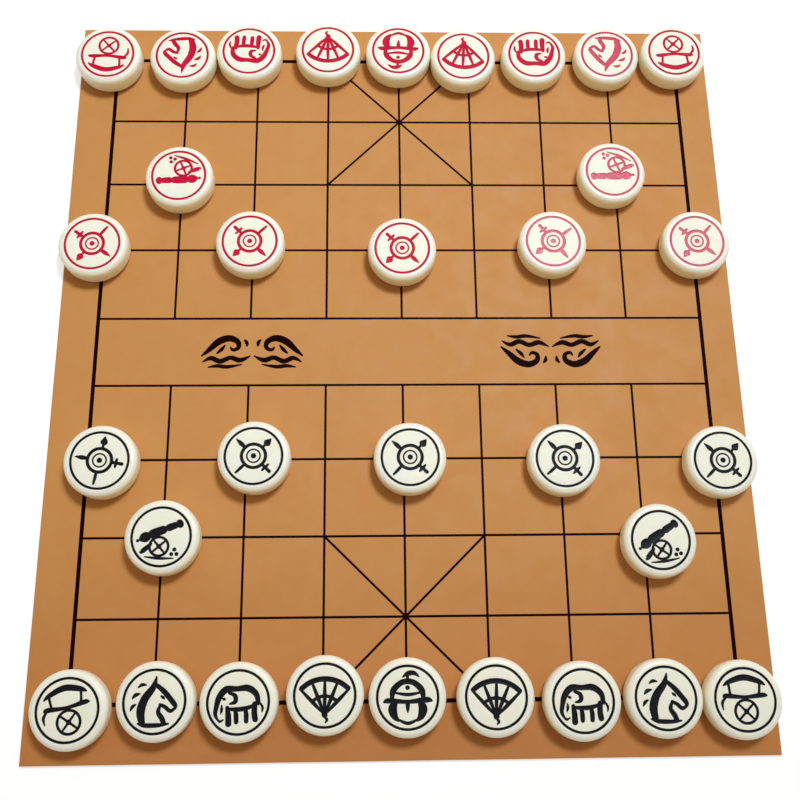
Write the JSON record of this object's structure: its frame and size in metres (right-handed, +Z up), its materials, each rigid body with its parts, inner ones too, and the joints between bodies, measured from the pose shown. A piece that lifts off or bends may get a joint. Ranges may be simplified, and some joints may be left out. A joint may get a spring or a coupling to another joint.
{
  "type": "xiangqi game set",
  "caption": "Flat imitation leather playing sheet with a printed grid, and loose round discs with engraved marks standing on its crossings, laid out ready to play.",
  "frame": {"origin": "centre of the sheet's underside, on the table", "axes": "+X to the black player's right, +Y towards the red side, +Z up"},
  "size_m": [0.3952, 0.439, 0.0145],
  "materials": {
    "leather": "fine grain, satin",
    "backing": "short nap, matt",
    "print": "printed ink, slightly satin",
    "red_disc": "polished ivory, marks inked crimson",
    "black_disc": "polished ivory, marks inked blue-black"
  },
  "bodies": {
    "sheet": {"sheet_face": "leather", "sheet_backing": "backing"},
    "red_chariot_left": {"red_chariot_left": "red_disc"},
    "red_horse_left": {"red_horse_left": "red_disc"},
    "red_elephant_left": {"red_elephant_left": "red_disc"},
    "red_advisor_left": {"red_advisor_left": "red_disc"},
    "red_general": {"red_general": "red_disc"},
    "red_advisor_right": {"red_advisor_right": "red_disc"},
    "red_elephant_right": {"red_elephant_right": "red_disc"},
    "red_horse_right": {"red_horse_right": "red_disc"},
    "red_chariot_right": {"red_chariot_right": "red_disc"},
    "red_cannon_left": {"red_cannon_left": "red_disc"},
    "red_cannon_right": {"red_cannon_right": "red_disc"},
    "red_soldier_1": {"red_soldier_1": "red_disc"},
    "red_soldier_2": {"red_soldier_2": "red_disc"},
    "red_soldier_3": {"red_soldier_3": "red_disc"},
    "red_soldier_4": {"red_soldier_4": "red_disc"},
    "red_soldier_5": {"red_soldier_5": "red_disc"},
    "black_soldier_1": {"black_soldier_1": "black_disc"},
    "black_soldier_2": {"black_soldier_2": "black_disc"},
    "black_soldier_3": {"black_soldier_3": "black_disc"},
    "black_soldier_4": {"black_soldier_4": "black_disc"},
    "black_soldier_5": {"black_soldier_5": "black_disc"},
    "black_cannon_left": {"black_cannon_left": "black_disc"},
    "black_cannon_right": {"black_cannon_right": "black_disc"},
    "black_chariot_left": {"black_chariot_left": "black_disc"},
    "black_horse_left": {"black_horse_left": "black_disc"},
    "black_elephant_left": {"black_elephant_left": "black_disc"},
    "black_advisor_left": {"black_advisor_left": "black_disc"},
    "black_general": {"black_general": "black_disc"},
    "black_advisor_right": {"black_advisor_right": "black_disc"},
    "black_elephant_right": {"black_elephant_right": "black_disc"},
    "black_horse_right": {"black_horse_right": "black_disc"},
    "black_chariot_right": {"black_chariot_right": "black_disc"}
  },
  "joints": [
    {"name": "red_chariot_left_lift", "type": "slide", "parent": "sheet", "child": "red_chariot_left", "axis": [0, 0, 1], "range_m": [0, 0.04]},
    {"name": "red_horse_left_lift", "type": "slide", "parent": "sheet", "child": "red_horse_left", "axis": [0, 0, 1], "range_m": [0, 0.04]},
    {"name": "red_elephant_left_lift", "type": "slide", "parent": "sheet", "child": "red_elephant_left", "axis": [0, 0, 1], "range_m": [0, 0.04]},
    {"name": "red_advisor_left_lift", "type": "slide", "parent": "sheet", "child": "red_advisor_left", "axis": [0, 0, 1], "range_m": [0, 0.04]},
    {"name": "red_general_lift", "type": "slide", "parent": "sheet", "child": "red_general", "axis": [0, 0, 1], "range_m": [0, 0.04]},
    {"name": "red_advisor_right_lift", "type": "slide", "parent": "sheet", "child": "red_advisor_right", "axis": [0, 0, 1], "range_m": [0, 0.04]},
    {"name": "red_elephant_right_lift", "type": "slide", "parent": "sheet", "child": "red_elephant_right", "axis": [0, 0, 1], "range_m": [0, 0.04]},
    {"name": "red_horse_right_lift", "type": "slide", "parent": "sheet", "child": "red_horse_right", "axis": [0, 0, 1], "range_m": [0, 0.04]},
    {"name": "red_chariot_right_lift", "type": "slide", "parent": "sheet", "child": "red_chariot_right", "axis": [0, 0, 1], "range_m": [0, 0.04]},
    {"name": "red_cannon_left_lift", "type": "slide", "parent": "sheet", "child": "red_cannon_left", "axis": [0, 0, 1], "range_m": [0, 0.04]},
    {"name": "red_cannon_right_lift", "type": "slide", "parent": "sheet", "child": "red_cannon_right", "axis": [0, 0, 1], "range_m": [0, 0.04]},
    {"name": "red_soldier_1_lift", "type": "slide", "parent": "sheet", "child": "red_soldier_1", "axis": [0, 0, 1], "range_m": [0, 0.04]},
    {"name": "red_soldier_2_lift", "type": "slide", "parent": "sheet", "child": "red_soldier_2", "axis": [0, 0, 1], "range_m": [0, 0.04]},
    {"name": "red_soldier_3_lift", "type": "slide", "parent": "sheet", "child": "red_soldier_3", "axis": [0, 0, 1], "range_m": [0, 0.04]},
    {"name": "red_soldier_4_lift", "type": "slide", "parent": "sheet", "child": "red_soldier_4", "axis": [0, 0, 1], "range_m": [0, 0.04]},
    {"name": "red_soldier_5_lift", "type": "slide", "parent": "sheet", "child": "red_soldier_5", "axis": [0, 0, 1], "range_m": [0, 0.04]},
    {"name": "black_soldier_1_lift", "type": "slide", "parent": "sheet", "child": "black_soldier_1", "axis": [0, 0, 1], "range_m": [0, 0.04]},
    {"name": "black_soldier_2_lift", "type": "slide", "parent": "sheet", "child": "black_soldier_2", "axis": [0, 0, 1], "range_m": [0, 0.04]},
    {"name": "black_soldier_3_lift", "type": "slide", "parent": "sheet", "child": "black_soldier_3", "axis": [0, 0, 1], "range_m": [0, 0.04]},
    {"name": "black_soldier_4_lift", "type": "slide", "parent": "sheet", "child": "black_soldier_4", "axis": [0, 0, 1], "range_m": [0, 0.04]},
    {"name": "black_soldier_5_lift", "type": "slide", "parent": "sheet", "child": "black_soldier_5", "axis": [0, 0, 1], "range_m": [0, 0.04]},
    {"name": "black_cannon_left_lift", "type": "slide", "parent": "sheet", "child": "black_cannon_left", "axis": [0, 0, 1], "range_m": [0, 0.04]},
    {"name": "black_cannon_right_lift", "type": "slide", "parent": "sheet", "child": "black_cannon_right", "axis": [0, 0, 1], "range_m": [0, 0.04]},
    {"name": "black_chariot_left_lift", "type": "slide", "parent": "sheet", "child": "black_chariot_left", "axis": [0, 0, 1], "range_m": [0, 0.04]},
    {"name": "black_horse_left_lift", "type": "slide", "parent": "sheet", "child": "black_horse_left", "axis": [0, 0, 1], "range_m": [0, 0.04]},
    {"name": "black_elephant_left_lift", "type": "slide", "parent": "sheet", "child": "black_elephant_left", "axis": [0, 0, 1], "range_m": [0, 0.04]},
    {"name": "black_advisor_left_lift", "type": "slide", "parent": "sheet", "child": "black_advisor_left", "axis": [0, 0, 1], "range_m": [0, 0.04]},
    {"name": "black_general_lift", "type": "slide", "parent": "sheet", "child": "black_general", "axis": [0, 0, 1], "range_m": [0, 0.04]},
    {"name": "black_advisor_right_lift", "type": "slide", "parent": "sheet", "child": "black_advisor_right", "axis": [0, 0, 1], "range_m": [0, 0.04]},
    {"name": "black_elephant_right_lift", "type": "slide", "parent": "sheet", "child": "black_elephant_right", "axis": [0, 0, 1], "range_m": [0, 0.04]},
    {"name": "black_horse_right_lift", "type": "slide", "parent": "sheet", "child": "black_horse_right", "axis": [0, 0, 1], "range_m": [0, 0.04]},
    {"name": "black_chariot_right_lift", "type": "slide", "parent": "sheet", "child": "black_chariot_right", "axis": [0, 0, 1], "range_m": [0, 0.04]}
  ]
}
